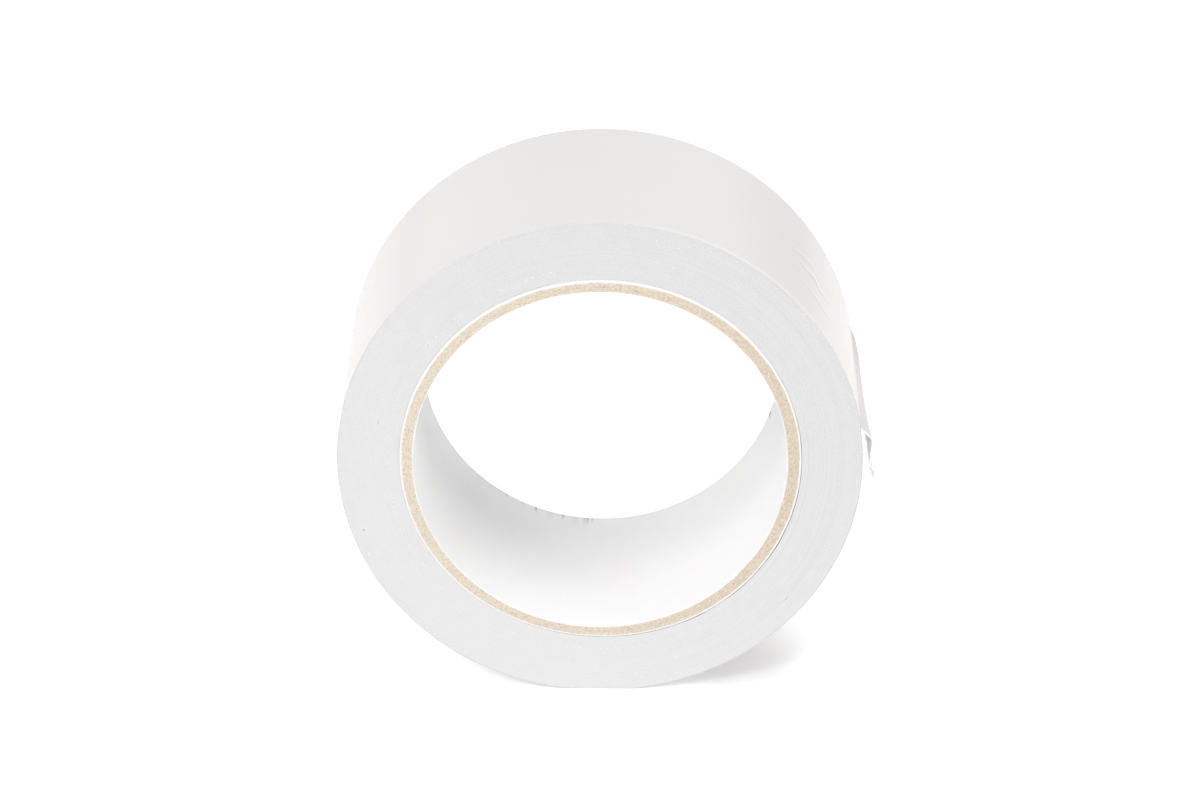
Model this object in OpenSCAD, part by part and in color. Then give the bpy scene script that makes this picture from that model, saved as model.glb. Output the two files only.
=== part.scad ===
// Roll of PVC packing tape on a paper core, standing on its rim with its free end lifted.
// Millimetres, +Z up. The origin is the centre of the core's bore, which runs along Y.
// The front is the -Y side. Seen from there, the tape winds inwards anticlockwise from its free end.

/* [Core] */
// Diameter of the core's bore, which takes a 3 inch hub
core_bore_d = 76.2; // [70:0.1:80]
// Thickness of the white liner paper inside the core
liner_t = 0.2; // [0.1:0.05:0.5]
// Number of board plies in the core's wall
ply_count = 4; // [2:1:6]
// Thickness of one board ply
ply_t = 0.52; // [0.3:0.02:0.8]
// Thickness of the white paper wrapped round the board
wrap_t = 0.4; // [0.2:0.05:0.8]

/* [Tape] */
// Width of the tape and of its core, which are slit in one cut
tape_w = 48; // [36:1:75]
// Length of tape on the roll, in metres
tape_len_m = 66; // [40:1:100]
// Thickness of the PVC film
film_t = 0.036; // [0.028:0.001:0.05]
// Thickness of the adhesive on the film
adhesive_t = 0.021; // [0.015:0.001:0.03]
// Depth of the flat that the roll's weight presses into its rim
flat_depth = 0.5; // [0.3:0.05:1]

/* [Free end] */
// Angle of the peel line above the +X axis, where the tape leaves the roll
peel_angle = 8.7; // [0:0.1:40]
// Length of the lifted flap, from the peel line to the crease
flap_len = 2.95; // [2.6:0.05:6]
// Length of the torn end, from the crease to the tear
end_len = 9.85; // [6:0.05:20]
// Height of the crease above the roll at the front edge of the tape
crease_lift_front = 2; // [1:0.1:2.4]
// Height of the crease above the roll at the back edge
crease_lift_back = 0.3; // [0.2:0.05:1]
// Height of the tear above the roll at the front edge
tear_lift_front = 2.6; // [1.6:0.1:4]
// Height of the tear above the roll at the back edge
tear_lift_back = 1.2; // [0.8:0.1:2]
// How far the ragged tear strays from its line, each way
tear_depth = 0.7; // [0.1:0.05:1]
// Number of steps along the ragged tear
tear_steps = 64; // [12:1:80]

/* [Clearances] */
// Gap between the flap and the roll at the peel line
root_gap = 0.12; // [0.08:0.02:0.2]
// Gap between the flap and the torn end along the crease
crease_gap = 0.1; // [0.06:0.02:0.2]
// Gap between the two ends of the outer turn
turn_gap = 0.5; // [0.4:0.1:1]

/* [Hidden] */
$fn = 180;

paper_white = "#F7F5F1";
board_tan = "#DDCDB8";
tape_white = "#EBEAE9";
tail_grey = "#D5D3D3";

bore_r = core_bore_d / 2;
liner_r = bore_r + liner_t;
board_r = liner_r + ply_count * ply_t;
core_r = board_r + wrap_t;

tape_t = film_t + adhesive_t;
mm_per_m = 1000;
roll_r = sqrt(core_r * core_r + tape_len_m * mm_per_m * tape_t / PI);
turn_r = roll_r - tape_t;
stand_z = flat_depth - roll_r;

// Points of the free end on its adhesive side, as [x, z] in the planes of the tape's two edges
root = polar(turn_r + root_gap, peel_angle) + root_gap * [sin(peel_angle), -cos(peel_angle)];
crease_front = fold_point(root, roll_r + crease_lift_front, flap_len);
crease_back = fold_point(root, roll_r + crease_lift_back, flap_len);
tear_front = fold_point(crease_front, roll_r + tear_lift_front, end_len);
tear_back = fold_point(crease_back, roll_r + tear_lift_back, end_len);
flap_steps = 24;

function ply_name(i) = str("core_ply_", i);

function polar(r, a) = [r * cos(a), r * sin(a)];

function mix(p, q, f) = p + f * (q - p);

// The point at radius r that lies a distance d from p, on its clockwise side
function fold_point(p, r, d) =
    let (p_r = norm(p), turned = acos((p_r * p_r + r * r - d * d) / (2 * p_r * r)))
    polar(r, atan2(p[1], p[0]) - turned);

// A cross-section of the film from p to q at depth y: two points on the adhesive side, two on the outside
function film_section(p, q, y) =
    let (d = (q - p) / norm(q - p), up = tape_t * [-d[1], d[0]])
    [for (c = [p, q, q + up, p + up]) [c[0], y, c[1]]];

// Depth of a fraction f of the tape's width, from the front edge to the back one
function depth(f) = (f - 1 / 2) * tape_w;

// How far the tear strays at step i: two waves that never fall into step
function tear_stray(i) = tear_depth * (sin(97 * i) + sin(211 * i)) / 2;

// The flap's section at a fraction f of the width
function flap_section(f) = film_section(root, mix(crease_front, crease_back, f), depth(f));

// The torn end's section at step i, which starts just past the crease and stops at the tear
function end_section(i) =
    let (
        f = i / tear_steps,
        crease = mix(crease_front, crease_back, f),
        tear = mix(tear_front, tear_back, f),
        along = (tear - crease) / norm(tear - crease)
    )
    film_section(crease + crease_gap * along, tear + tear_stray(i) * along, depth(f));

// A closed skin over a row of four-point sections.
// Both sides of the film are split along the same diagonals, so that its thickness stays even in the twist.
module film_strip(sections) {
    last = 4 * (len(sections) - 1);
    sides = [
        for (i = [0 : 4 : last - 4], j = [0 : 3])
            let (a = i + j, b = i + (j + 1) % 4)
            each j == 2 ? [[a, a + 4, b], [b, a + 4, b + 4]] : [[a, a + 4, b + 4], [a, b + 4, b]]
    ];
    caps = [[0, 1, 2], [0, 2, 3], [last, last + 2, last + 1], [last, last + 3, last + 2]];
    polyhedron([for (s = sections) each s], concat(sides, caps));
}

// Stands a flat outline, drawn as the front sees it, over the tape's width
module across_width() {
    rotate([90, 0, 0])
        linear_extrude(tape_w, center = true)
            children();
}

module tube(inner_r, outer_r) {
    across_width()
        difference() {
            circle(outer_r);
            circle(inner_r);
        }
}

module half_disc(r) {
    intersection() {
        circle(r);
        translate([-r, 0]) square([2 * r, r]);
    }
}

// The outline of a turn that starts at radius r on the peel line and ends one tape thickness lower.
// Two half discs make it, the second one half a thickness smaller and half a thickness off centre.
module turn_outline(r) {
    rotate(peel_angle) {
        half_disc(r);
        translate([-tape_t / 2, 0])
            mirror([0, 1])
                half_disc(r - tape_t / 2);
    }
}

// Cuts off what lies lower than z
module pressed_flat(z) {
    difference() {
        children();
        translate([-roll_r, z - roll_r]) square([2 * roll_r, roll_r]);
    }
}

module core_liner() {
    color(paper_white) tube(bore_r, liner_r);
}

module core_ply(i) {
    inner_r = liner_r + (i - 1) * ply_t;
    color(board_tan) tube(inner_r, inner_r + ply_t);
}

module core_wrap() {
    color(paper_white) tube(board_r, core_r);
}

// All turns but the last one, bonded into one body
module tape_winding() {
    color(tape_white)
        across_width()
            difference() {
                pressed_flat(stand_z + tape_t) turn_outline(turn_r);
                circle(core_r);
            }
}

// The last turn, from the end of the turn below it to the peel line
module outer_turn() {
    color(tape_white)
        across_width()
            difference() {
                pressed_flat(stand_z) turn_outline(roll_r);
                pressed_flat(stand_z + tape_t) turn_outline(turn_r);
                rotate(peel_angle) translate([0, -turn_gap]) square([roll_r, turn_gap]);
            }
}

// The part of the free end that stands off the roll, high at the front edge and low at the back
module tail_flap() {
    color(tail_grey) film_strip([for (i = [0 : flap_steps]) flap_section(i / flap_steps)]);
}

// The part beyond the crease, which hangs down and ends in the tear
module tail_end() {
    color(tail_grey) film_strip([for (i = [0 : tear_steps]) end_section(i)]);
}

// The outer turn's least gap to itself lies between its ends, at the step on the peel line
outer_end = polar(turn_r, peel_angle);
inner_end = outer_end + turn_gap * [sin(peel_angle), -cos(peel_angle)];
echo(outer_turn_gap_to_itself = norm(outer_end - inner_end));

core_liner();
for (i = [1 : ply_count]) {
    core_ply(i);
}
core_wrap();
tape_winding();
outer_turn();
tail_flap();
tail_end();
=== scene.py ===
import math

import bmesh
import bpy
import numpy as np
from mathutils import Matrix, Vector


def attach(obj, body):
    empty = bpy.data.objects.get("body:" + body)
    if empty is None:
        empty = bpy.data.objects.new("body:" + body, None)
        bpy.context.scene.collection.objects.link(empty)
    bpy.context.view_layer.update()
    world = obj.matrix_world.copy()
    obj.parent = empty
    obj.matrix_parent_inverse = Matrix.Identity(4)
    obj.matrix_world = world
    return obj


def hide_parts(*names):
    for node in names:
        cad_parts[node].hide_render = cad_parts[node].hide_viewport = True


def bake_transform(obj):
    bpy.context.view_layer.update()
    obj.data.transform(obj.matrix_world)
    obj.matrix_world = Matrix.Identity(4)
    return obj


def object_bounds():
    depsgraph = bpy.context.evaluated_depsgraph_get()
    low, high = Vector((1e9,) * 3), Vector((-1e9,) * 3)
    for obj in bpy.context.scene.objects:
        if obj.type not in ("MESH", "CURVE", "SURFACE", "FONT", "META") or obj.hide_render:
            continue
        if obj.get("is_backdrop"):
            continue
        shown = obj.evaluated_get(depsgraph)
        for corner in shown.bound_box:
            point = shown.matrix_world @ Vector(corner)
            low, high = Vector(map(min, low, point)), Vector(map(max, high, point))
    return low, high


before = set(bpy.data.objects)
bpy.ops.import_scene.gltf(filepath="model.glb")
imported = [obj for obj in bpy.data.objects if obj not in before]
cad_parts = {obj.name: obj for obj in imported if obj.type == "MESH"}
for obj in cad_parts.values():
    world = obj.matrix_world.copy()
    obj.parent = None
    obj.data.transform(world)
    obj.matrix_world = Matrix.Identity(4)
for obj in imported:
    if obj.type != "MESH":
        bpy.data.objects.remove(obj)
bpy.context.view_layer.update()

# Liner paper inside the core
# A strip of bleached white paper, wound in a spiral on a mandrel with its edges butted in a slanting seam.
# The board is glued on it. The knife that slit tape and core together left scuffs on the far edge.
MM = 0.001
HALF_WIDTH = 24.0
WIDTH = 2 * HALF_WIDTH
BORE_R = 38.1
LINER_R = 38.3
CORE_STEPS = 960
SHARP_EDGE = math.radians(50)


def linear(hex_colour):
    """An sRGB hex colour as linear RGBA."""
    parts = [int(hex_colour[i : i + 2], 16) / 255 for i in (1, 3, 5)]
    return [c / 12.92 if c <= 0.04045 else ((c + 0.055) / 1.055) ** 2.4 for c in parts] + [1.0]


def add_node(tree, kind, inputs, **settings):
    """Adds a shader node. settings are its properties, and inputs its sockets' values
    or what feeds them: a socket, or a node by its first output in use."""
    node = tree.nodes.new("ShaderNode" + kind)
    for name, value in settings.items():
        setattr(node, name, value)
    for socket, value in inputs.items():
        if isinstance(value, bpy.types.Node):
            value = next(end for end in value.outputs if end.enabled)
        if isinstance(value, bpy.types.NodeSocket):
            tree.links.new(value, node.inputs[socket])
        else:
            node.inputs[socket].default_value = value
    return node


def new_material(name):
    """An empty node material, as the material and its node tree."""
    material = bpy.data.materials.new(name)
    material.use_nodes = True
    tree = material.node_tree
    tree.nodes.clear()
    return material, tree


def closed_noise(seed, round_cells, across_cells, turn, across):
    """Smooth seeded noise from -1 to 1. turn counts turns round the roll, where the noise closes on itself,
    and across runs from 0 to 1."""
    knots = np.random.default_rng(seed).uniform(-1, 1, (round_cells, across_cells + 2))
    a = (turn % 1) * round_cells
    b = np.clip(across, 0, 1) * across_cells
    i = np.floor(a).astype(int)
    j = np.floor(b).astype(int)
    fa = a - i
    fb = b - j
    fa = fa * fa * (3 - 2 * fa)
    fb = fb * fb * (3 - 2 * fb)
    i0 = i % round_cells
    i1 = (i + 1) % round_cells
    near = knots[i0, j] * (1 - fa) + knots[i1, j] * fa
    far = knots[i0, j + 1] * (1 - fa) + knots[i1, j + 1] * fa
    return near * (1 - fb) + far * fb


def smooth_piece(name, points, faces):
    """A smooth mesh object from points in millimetres and faces, turned to face outwards."""
    mesh = bpy.data.meshes.new(name)
    mesh.from_pydata((points * MM).tolist(), [], faces)
    solid = bmesh.new()
    solid.from_mesh(mesh)
    bmesh.ops.recalc_face_normals(solid, faces=solid.faces)
    solid.to_mesh(mesh)
    solid.free()
    mesh.shade_smooth()
    piece = bpy.data.objects.new(name, mesh)
    bpy.context.collection.objects.link(piece)
    return piece


def skin(name, grid, close_rows, close_cols, caps=()):
    """A smooth piece from a grid of points in millimetres, joined up in either direction,
    with faces as caps."""
    rows, cols = grid.shape[:2]
    i, j = np.meshgrid(
        np.arange(rows if close_rows else rows - 1),
        np.arange(cols if close_cols else cols - 1),
        indexing="ij",
    )
    i1 = (i + 1) % rows
    j1 = (j + 1) % cols
    quads = np.stack([i * cols + j, i * cols + j1, i1 * cols + j1, i1 * cols + j], -1).reshape(-1, 4)
    piece = smooth_piece(name, grid.reshape(-1, 3), quads.tolist() + list(caps))
    piece.data.set_sharp_from_angle(angle=SHARP_EDGE)
    return piece


def tube(name, inner, outer, relief, steps, wall_rows, face_rows, edge):
    """A tube round the Y axis, cut square at both ends.
    inner and outer give its radii at an angle and a depth, relief how far a cut end stands out,
    and edge is the width over which the cut edges are worn round. All in millimetres.
    wall_rows counts rows of points on the inner and outer wall, face_rows on the front and back end."""
    angle = (np.arange(steps) * 2 * math.pi / steps)[:, None]
    bored, wound = [np.linspace(-HALF_WIDTH + edge, HALF_WIDTH - edge, rows) for rows in wall_rows]
    worn = edge / float(np.mean(outer(angle, bored) - inner(angle, bored)))
    front, back = [
        np.concatenate([[worn / 3], np.linspace(worn, 1 - worn, rows), [1 - worn / 3]]) for rows in face_rows
    ]
    share = np.concatenate([0 * bored, back, 0 * wound + 1, front[::-1]])[None, :]
    side = np.concatenate([0 * bored, 0 * back + 1, 0 * wound, 0 * front - 1])[None, :]
    depth = np.concatenate([bored, 0 * back + HALF_WIDTH, wound[::-1], 0 * front - HALF_WIDTH])[None, :]
    low = inner(angle, depth)
    high = outer(angle, depth)
    radius = low + (high - low) * share
    room = np.minimum(share, 1 - share) * (high - low)
    rounded = edge * np.maximum(0, 1 - room / edge) ** 2
    fade = np.clip(room / edge, 0, 1)
    y = np.where(side == 0, depth, side * (HALF_WIDTH - rounded + relief(angle, radius, side) * fade))
    grid = np.stack([radius * np.cos(angle), y + 0 * radius, radius * np.sin(angle)], -1)
    return skin(name, grid, True, True)


def set_values(piece, name, values):
    """Stores one number per vertex for the piece's material to read."""
    stored = piece.data.attributes.new(name, "FLOAT", "POINT")
    stored.data.foreach_set("value", values.astype(np.float32))


def vertices_of(piece):
    """The piece's vertices in millimetres."""
    flat = np.zeros(len(piece.data.vertices) * 3, np.float32)
    piece.data.vertices.foreach_get("co", flat)
    return flat.reshape(-1, 3).astype(float) / MM


def angle_from(angle, degrees):
    """Signed angle in degrees from a place on the ring, given in degrees."""
    return (np.degrees(angle) - degrees + 180) % 360 - 180


# The spiral seam: its place, its turn per mm of depth and its half width in degrees, and its depth in mm
SEAM_PLACE = 90
SEAM_PITCH = 1.5
SEAM_WIDE = 0.5
SEAM_DEEP = 0.06

# The dent where the front edge was knocked: place and half width in degrees, reach and height in mm
DENT_PLACE = 170
DENT_WIDE = 3
DENT_REACH = 1.2
DENT_HIGH = 0.14

# How far the papers stray in mm: the bore's wall, the glued face and the fibres on a cut edge
BORE_WAVE = 0.025
GLUE_WAVE = 0.035
FIBRE_RISE = 0.02


def bore(angle, depth):
    """The liner's inner wall: nearly round, with a shallow seam and a dent at its front edge."""
    turn = angle / (2 * math.pi)
    wall = BORE_R + BORE_WAVE * closed_noise(11, 9, 3, turn, (depth + HALF_WIDTH) / WIDTH)
    seam = angle_from(angle, SEAM_PLACE) - SEAM_PITCH * depth
    wall = wall + SEAM_DEEP * np.exp(-((seam / SEAM_WIDE) ** 2))
    dent = np.exp(-((angle_from(angle, DENT_PLACE) / DENT_WIDE) ** 2))
    dent = dent * np.exp(-((depth + HALF_WIDTH) / DENT_REACH))
    return wall - DENT_HIGH * dent


def liner_outside(angle, depth):
    """The glued face between liner and board, a little uneven from the winding."""
    return LINER_R + GLUE_WAVE * closed_noise(12, 70, 1, angle / (2 * math.pi), 0 * angle) + 0 * depth


def paper_cut(angle, radius, side):
    """Fibres left standing on the cut edge of the white papers."""
    return FIBRE_RISE * closed_noise(13, 700, 3, angle / (2 * math.pi) + 0.3 * side, (radius - BORE_R) / 3)


PULP_CLOUD_MM = 3.0
FIBRE_MM = 0.25


def bleached_paper(name, dark, light, fibre_white):
    """White paper with clouds of pulp and fibres, darkened by the piece's own scuffs."""
    material, tree = new_material(name)
    place = add_node(tree, "TexCoord", {}).outputs["Object"]
    cloud = add_node(tree, "TexNoise", {"Vector": place, "Scale": 1 / (PULP_CLOUD_MM * MM), "Detail": 3})
    fibre = add_node(tree, "TexNoise", {"Vector": place, "Scale": 1 / (FIBRE_MM * MM), "Detail": 2})
    pulp = add_node(tree, "Mix", {0: cloud, 6: linear(dark), 7: linear(light)}, data_type="RGBA")
    fibred = add_node(tree, "Mix", {0: fibre, 6: linear(fibre_white), 7: pulp}, data_type="RGBA")
    scuffed = add_node(
        tree,
        "Mix",
        {
            0: add_node(tree, "Attribute", {}, attribute_name="scuff").outputs["Fac"],
            6: fibred,
            7: linear("#57534E"),
        },
        data_type="RGBA",
    )
    grain = add_node(tree, "Bump", {"Height": fibre, "Strength": 0.25, "Distance": 0.03 * MM})
    surface = add_node(
        tree, "BsdfPrincipled", {"Base Color": scuffed, "Roughness": 0.72, "IOR": 1.5, "Normal": grain}
    )
    add_node(tree, "OutputMaterial", {"Surface": surface})
    return material


# Bleached paper, calendered but uncoated: dead white and matt, with a faint cloudiness of the pulp
# in the sheet. The fibres are drawn about twice as coarse as the real ones, which are finer than a pixel.
paper = bleached_paper("bleached_paper_calendered", "#F3F2F1", "#FAFAFA", "#F4F3F3")

# Scuffs on the far edge: place round the bore in degrees, reach from the edge, width and depth of tone
SCUFFS = [
    (-125.3, 0.7, 0.4, 0.4),
    (-122.6, 0.9, 0.4, 0.5),
    (-116.5, 1.4, 0.4, 0.25),
    (-111.9, 1.8, 0.4, 0.7),
    (-107.0, 3.0, 1.6, 0.08),
    (-102.7, 1.5, 0.5, 0.65),
    (-98.8, 3.2, 1.2, 0.14),
    (-95.6, 2.4, 0.5, 0.4),
    (-94.6, 2.0, 0.5, 0.55),
    (-93.0, 1.4, 0.4, 0.4),
    (-18.5, 2.0, 0.9, 0.9),
]
liner = tube(
    "core_liner_paper",
    bore,
    liner_outside,
    paper_cut,
    steps=CORE_STEPS,
    wall_rows=(91, 3),
    face_rows=(3, 3),
    edge=0.04,
)
points = vertices_of(liner)
angles = np.arctan2(points[:, 2], points[:, 0])
scuff = np.zeros(len(points))
for where, reach, wide, tone in SCUFFS:
    across = np.radians(angle_from(angles, where)) * BORE_R
    down = (HALF_WIDTH - points[:, 1]) / reach
    scuff = np.maximum(scuff, tone * np.exp(-((across / (0.5 * wide)) ** 2)) * np.exp(-(down ** 2)))
set_values(liner, "scuff", scuff)
liner.data.materials.append(paper)
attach(liner, "roll")
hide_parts("core_liner")

# Board plies of the core
# Four strips of recycled core board, each about half a millimetre thick, wound over the liner in a spiral
# and glued. The slitting knife cuts them square, and the cut shows mottled pulp with darker fibres.
PLY_T = 0.52
PLY_COUNT = 4
BOARD_R = LINER_R + PLY_COUNT * PLY_T

# Unevenness in mm: slow and fine on the glued faces, then clumps and fibres on the cut
PLY_WAVE = 0.03
PLY_FRAY = 0.03
CLUMP_RISE = 0.05
PULP_RISE = 0.035

# The core isn't quite round: radius of the board's outside in mm, at places round it in degrees
BOARD_ROUND = [
    (-175, 40.35),
    (-145, 40.3),
    (-115, 40.12),
    (-95, 40.1),
    (-75, 40.3),
    (-55, 40.44),
    (-25, 40.5),
    (5, 40.58),
    (25, 40.54),
    (45, 40.44),
    (75, 40.28),
    (95, 40.18),
    (125, 40.25),
    (155, 40.3),
]


def from_places(table, angle):
    """A radius from a table of places round the core, eased over 20 degrees."""
    places = [place for place, _ in table]
    radii = [radius for _, radius in table]
    eased = [np.interp(np.degrees(angle) + o, places, radii, period=360) for o in (-10, -5, 0, 5, 10)]
    return sum(eased) / len(eased)


def ply_face(count):
    """The glued face over that many plies, a little wavier from ply to ply."""
    if count == 0:
        return liner_outside

    def outside(angle, depth):
        turn = angle / (2 * math.pi)
        wave = PLY_WAVE * closed_noise(20 + count, 60, 1, turn, 0 * turn)
        fray = PLY_FRAY * closed_noise(30 + count, 420, 1, turn, 0 * turn)
        bulge = (from_places(BOARD_ROUND, angle) - BOARD_R) * count / PLY_COUNT
        return LINER_R + count * PLY_T + bulge + wave + fray + 0 * depth

    return outside


def board_cut(angle, radius, side):
    """The knife's rough cut through the board: torn clumps of pulp and finer fibres between them."""
    turn = angle / (2 * math.pi)
    across = (radius - LINER_R) / (BOARD_R - LINER_R)
    clumps = closed_noise(41, 260, 5, turn + 0.37 * side, across)
    fibres = closed_noise(42, 800, 14, turn + 0.21 * side, across)
    return CLUMP_RISE * clumps + PULP_RISE * fibres


def round_the_roll(tree, along, across):
    """A texture vector that counts cells of along by across millimetres,
    round the roll's axis and out from it."""
    place = add_node(tree, "TexCoord", {}).outputs["Object"]
    flat = add_node(tree, "VectorMath", {0: place, 1: (1, 0, 1)}, operation="MULTIPLY")
    radius = add_node(tree, "VectorMath", {0: flat}, operation="LENGTH")
    way = add_node(tree, "VectorMath", {0: flat}, operation="NORMALIZE")
    turned = add_node(tree, "VectorMath", {0: way, "Scale": BOARD_R / along}, operation="SCALE")
    layers = add_node(tree, "Math", {0: radius, 1: 1 / (across * MM)}, operation="MULTIPLY")
    outward = add_node(tree, "CombineXYZ", {"Y": layers})
    return add_node(tree, "VectorMath", {0: turned, 1: outward}, operation="ADD")


# Recycled core board, raw from the knife: pale tan and quite matt, mottled by clumps of pulp that lie
# along the ply, with scattered darker fibres. It is painted a little lighter on the left, as painted light.
CLUMP_MM = (0.55, 0.34)
DARK_FIBRE_MM = (0.5, 0.22)
LEFT_LIGHT_SPAN = 0.2
board, tree = new_material("recycled_core_board_slit")
clump = add_node(tree, "TexNoise", {"Vector": round_the_roll(tree, *CLUMP_MM), "Scale": 1.0, "Detail": 2})
dark = add_node(tree, "TexNoise", {"Vector": round_the_roll(tree, *DARK_FIBRE_MM), "Scale": 1.0, "Detail": 1})
tone = add_node(
    tree, "MapRange", {"Value": clump, "From Min": 0.3, "From Max": 0.7, "To Min": 0.0, "To Max": 1.0}
)
place = add_node(tree, "TexCoord", {}).outputs["Object"]
sideways = add_node(tree, "SeparateXYZ", {0: place}).outputs["X"]
# Painted light: the tone grows lighter towards the left
painted_light_tone = add_node(tree, "Math", {0: sideways, 1: -1 / LEFT_LIGHT_SPAN, 2: tone}, operation="MULTIPLY_ADD")
mottled = add_node(tree, "Mix", {0: painted_light_tone, 6: linear("#D5C6B3"), 7: linear("#E9DFCF")}, data_type="RGBA")
strand = add_node(
    tree, "MapRange", {"Value": dark, "From Min": 0.6, "From Max": 0.78, "To Min": 0.0, "To Max": 0.8}
)
fibred = add_node(tree, "Mix", {0: strand, 6: mottled, 7: linear("#AA9479")}, data_type="RGBA")
rough = add_node(tree, "Bump", {"Height": clump, "Strength": 0.5, "Distance": 0.08 * MM})
surface = add_node(
    tree, "BsdfPrincipled", {"Base Color": fibred, "Roughness": 0.9, "IOR": 1.45, "Normal": rough}
)
add_node(tree, "OutputMaterial", {"Surface": surface})

for count in range(PLY_COUNT):
    ply = tube(
        f"core_board_ply_{count + 1}",
        ply_face(count),
        ply_face(count + 1),
        board_cut,
        steps=CORE_STEPS,
        wall_rows=(3, 3),
        face_rows=(5, 5),
        edge=0.05,
    )
    ply.data.materials.append(board)
    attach(ply, "roll")
    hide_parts(f"core_ply_{count + 1}")

# White paper round the board
# The core's outer wrap, bleached paper glued round the board as the face that the tape starts on.
# It is thick at the top and thin at the bottom and on the right, where a slot is open beside it.
WRAP_R = 40.93
WRAP_WAVE = 0.02

# Radius of the wrap's outside in mm, at places round it in degrees
WRAP_ROUND = [
    (-175, 40.85),
    (-145, 40.68),
    (-115, 40.43),
    (-95, 40.4),
    (-75, 40.66),
    (-55, 40.86),
    (-25, 40.92),
    (5, 41.02),
    (25, 41.04),
    (45, 41.08),
    (75, 40.98),
    (95, 40.92),
    (125, 40.9),
    (155, 40.87),
]


def wrap_outside(angle, depth):
    """The wrap's outer face."""
    turn = angle / (2 * math.pi)
    return from_places(WRAP_ROUND, angle) + WRAP_WAVE * closed_noise(51, 80, 1, turn, 0 * turn) + 0 * depth


# The same paper seen on its slit edge: the open fibres trap some light, so it looks a shade greyer
# than the sheet.
slit_paper = bleached_paper("bleached_paper_slit_edge", "#EFEEED", "#F8F7F7", "#F1F0F0")
wrap = tube(
    "core_wrap_paper",
    ply_face(PLY_COUNT),
    wrap_outside,
    paper_cut,
    steps=CORE_STEPS,
    wall_rows=(3, 3),
    face_rows=(5, 5),
    edge=0.06,
)
wrap.data.materials.append(slit_paper)
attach(wrap, "roll")
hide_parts("core_wrap")

# Wound tape, all turns but the last
# About 220 turns of one strip of PVC tape, bonded to a ring by their own adhesive and slit square in one cut.
# The turns stray by some hundredths of a millimetre, so the cut face shows fine rings round the core.
TAPE_T = 0.057
ROLL_R = 53.4836
TURN_R = ROLL_R - TAPE_T
STAND_Z = -52.9836
FOOT_SINE = -0.9
PEEL_ANGLE = math.radians(8.7)
RING_STEPS = 600
WALL_ROWS = 3
UNDER_FILM = 0.002

# The slot beside the wrap: its middle and half width in degrees, its widths in mm where shut and open,
# and how much its edge strays
SLOT_PLACE = -46
SLOT_WIDE = 52
SLOT_SHUT = 0.012
SLOT_OPEN = 0.115
SLOT_STRAY = 0.015

# Relief of the slit face in mm: bundles of turns, finer bundles and the slow waviness of the cut
BUNDLE_RISE = 0.008
TURNS_RISE = 0.004
SLOW_RISE = 0.03


def film_outside(angle):
    """Radius of the outer turn's outside: a spiral from the peel line, pressed flat where the roll stands."""
    wound = (angle - PEEL_ANGLE) % (2 * math.pi)
    spiral = ROLL_R - TAPE_T * wound / (2 * math.pi)
    below = np.maximum(-np.sin(angle), -FOOT_SINE)
    return np.where(np.sin(angle) < FOOT_SINE, np.minimum(spiral, -STAND_Z / below), spiral)


def slot_at(angle):
    """Width of the slot between wrap and tape, open on the right and lower right."""
    open_side = np.exp(-((angle_from(angle, SLOT_PLACE) / SLOT_WIDE) ** 2))
    ragged = 0.5 + 0.5 * closed_noise(61, 90, 1, angle / (2 * math.pi), 0 * angle)
    return SLOT_SHUT + SLOT_OPEN * open_side * (0.5 + 0.8 * ragged) + SLOT_STRAY * ragged


def winding_inside(angle, depth):
    """The first turn of the tape."""
    return wrap_outside(angle, depth) + slot_at(angle)


def winding_outside(angle, depth):
    """The face under the last turn."""
    return film_outside(angle) - TAPE_T - UNDER_FILM + 0 * depth


def slit_face(angle, radius, side):
    """Relief of the slit face: bundles of turns that stand out or lie back, and a slow waviness over them."""
    turn = angle / (2 * math.pi) + 0.43 * side
    across = (radius - WRAP_R) / (ROLL_R - WRAP_R)
    bundles = closed_noise(71, 16, 34, turn, across)
    turns = closed_noise(72, 30, 80, turn, across)
    slow = closed_noise(73, 5, 4, turn, across)
    return BUNDLE_RISE * bundles + TURNS_RISE * turns + SLOW_RISE * slow


# White PVC tape seen on its slit edges: film and adhesive in turn, cut clean, so pale grey and matt with
# fine rings. The rings are drawn some nine turns wide, because a single turn is thinner than a pixel. They
# are drawn clearer on the right. Patchy smears of adhesive lie over them, and the face is painted lighter
# towards the lower left as painted light.
RING_MM = (60.0, 0.3)
RING_WEIGHT = 1.6
LINE_MM = (60.0, 0.5)
WAVE_UNIT = 2 * math.pi / 20
FINE_RING_MM = (16.0, 0.22)
CUT_MM = 14.0
CLEAR_SPAN = 0.16
LIGHT_LEAN = (-1.5, 0.0, -4.2)
SMEAR_MM = 2.6
SMEAR_WEIGHT = 0.25
SLIT_GRAIN_MM = 0.3
slit, tree = new_material("pvc_tape_slit_edges")
place = add_node(tree, "TexCoord", {}).outputs["Object"]
rings = add_node(tree, "TexNoise", {"Vector": round_the_roll(tree, *RING_MM), "Scale": 1.0, "Detail": 0})
lines = add_node(
    tree,
    "TexWave",
    {"Vector": round_the_roll(tree, *LINE_MM), "Scale": WAVE_UNIT, "Distortion": 8.0, "Detail": 2.0},
    bands_direction="Y",
)
turns = add_node(tree, "Math", {0: rings, 1: RING_WEIGHT, 2: lines.outputs["Fac"]}, operation="MULTIPLY_ADD")
fine = add_node(tree, "TexNoise", {"Vector": round_the_roll(tree, *FINE_RING_MM), "Scale": 1.0, "Detail": 1})
cut = add_node(tree, "TexNoise", {"Vector": place, "Scale": 1 / (CUT_MM * MM), "Detail": 1})
smear = add_node(tree, "TexNoise", {"Vector": place, "Scale": 1 / (SMEAR_MM * MM), "Detail": 2})
speckle = add_node(tree, "TexNoise", {"Vector": place, "Scale": 1 / (SLIT_GRAIN_MM * MM), "Detail": 1})
line = add_node(
    tree, "MapRange", {"Value": turns, "From Min": 0.65, "From Max": 1.95, "To Min": 0.0, "To Max": 1.0}
)
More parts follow.
